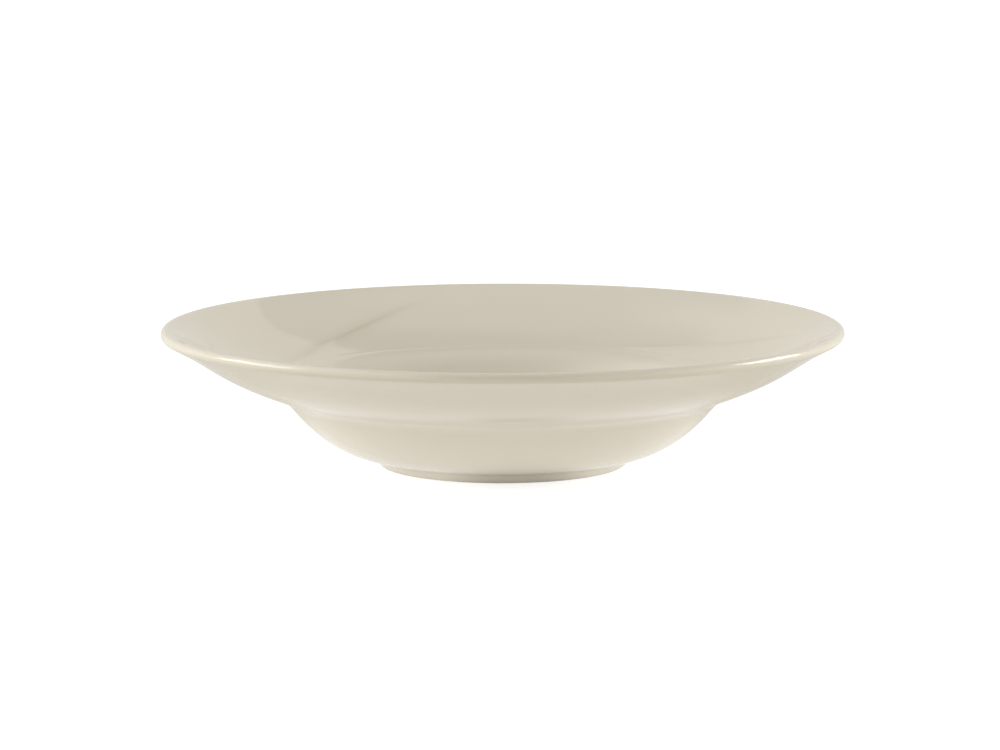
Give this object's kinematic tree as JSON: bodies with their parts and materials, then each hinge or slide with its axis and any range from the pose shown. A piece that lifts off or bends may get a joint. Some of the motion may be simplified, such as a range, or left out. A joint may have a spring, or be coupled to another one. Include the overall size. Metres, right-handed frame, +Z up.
{
  "type": "salad bowl",
  "caption": "Round, wide-rimmed china salad bowl with a deep well, a rounded lip and a low foot ring, in a glossy cream glaze.",
  "frame": {"origin": "centre of the foot ring's standing face, on the table", "axes": "+Z up along the axis the bowl is turned about; X and Y in the table"},
  "size_m": [0.305, 0.305, 0.0625],
  "materials": {
    "fired_clay": "fired clay, wiped bare on the foot ring, fine matt",
    "cream_glaze": "clear glossy glaze over a cream body"
  },
  "bodies": {
    "root": {"clay_body": "fired_clay", "glaze_coat": "cream_glaze", "foot_recess_glaze": "cream_glaze"}
  },
  "joints": []
}
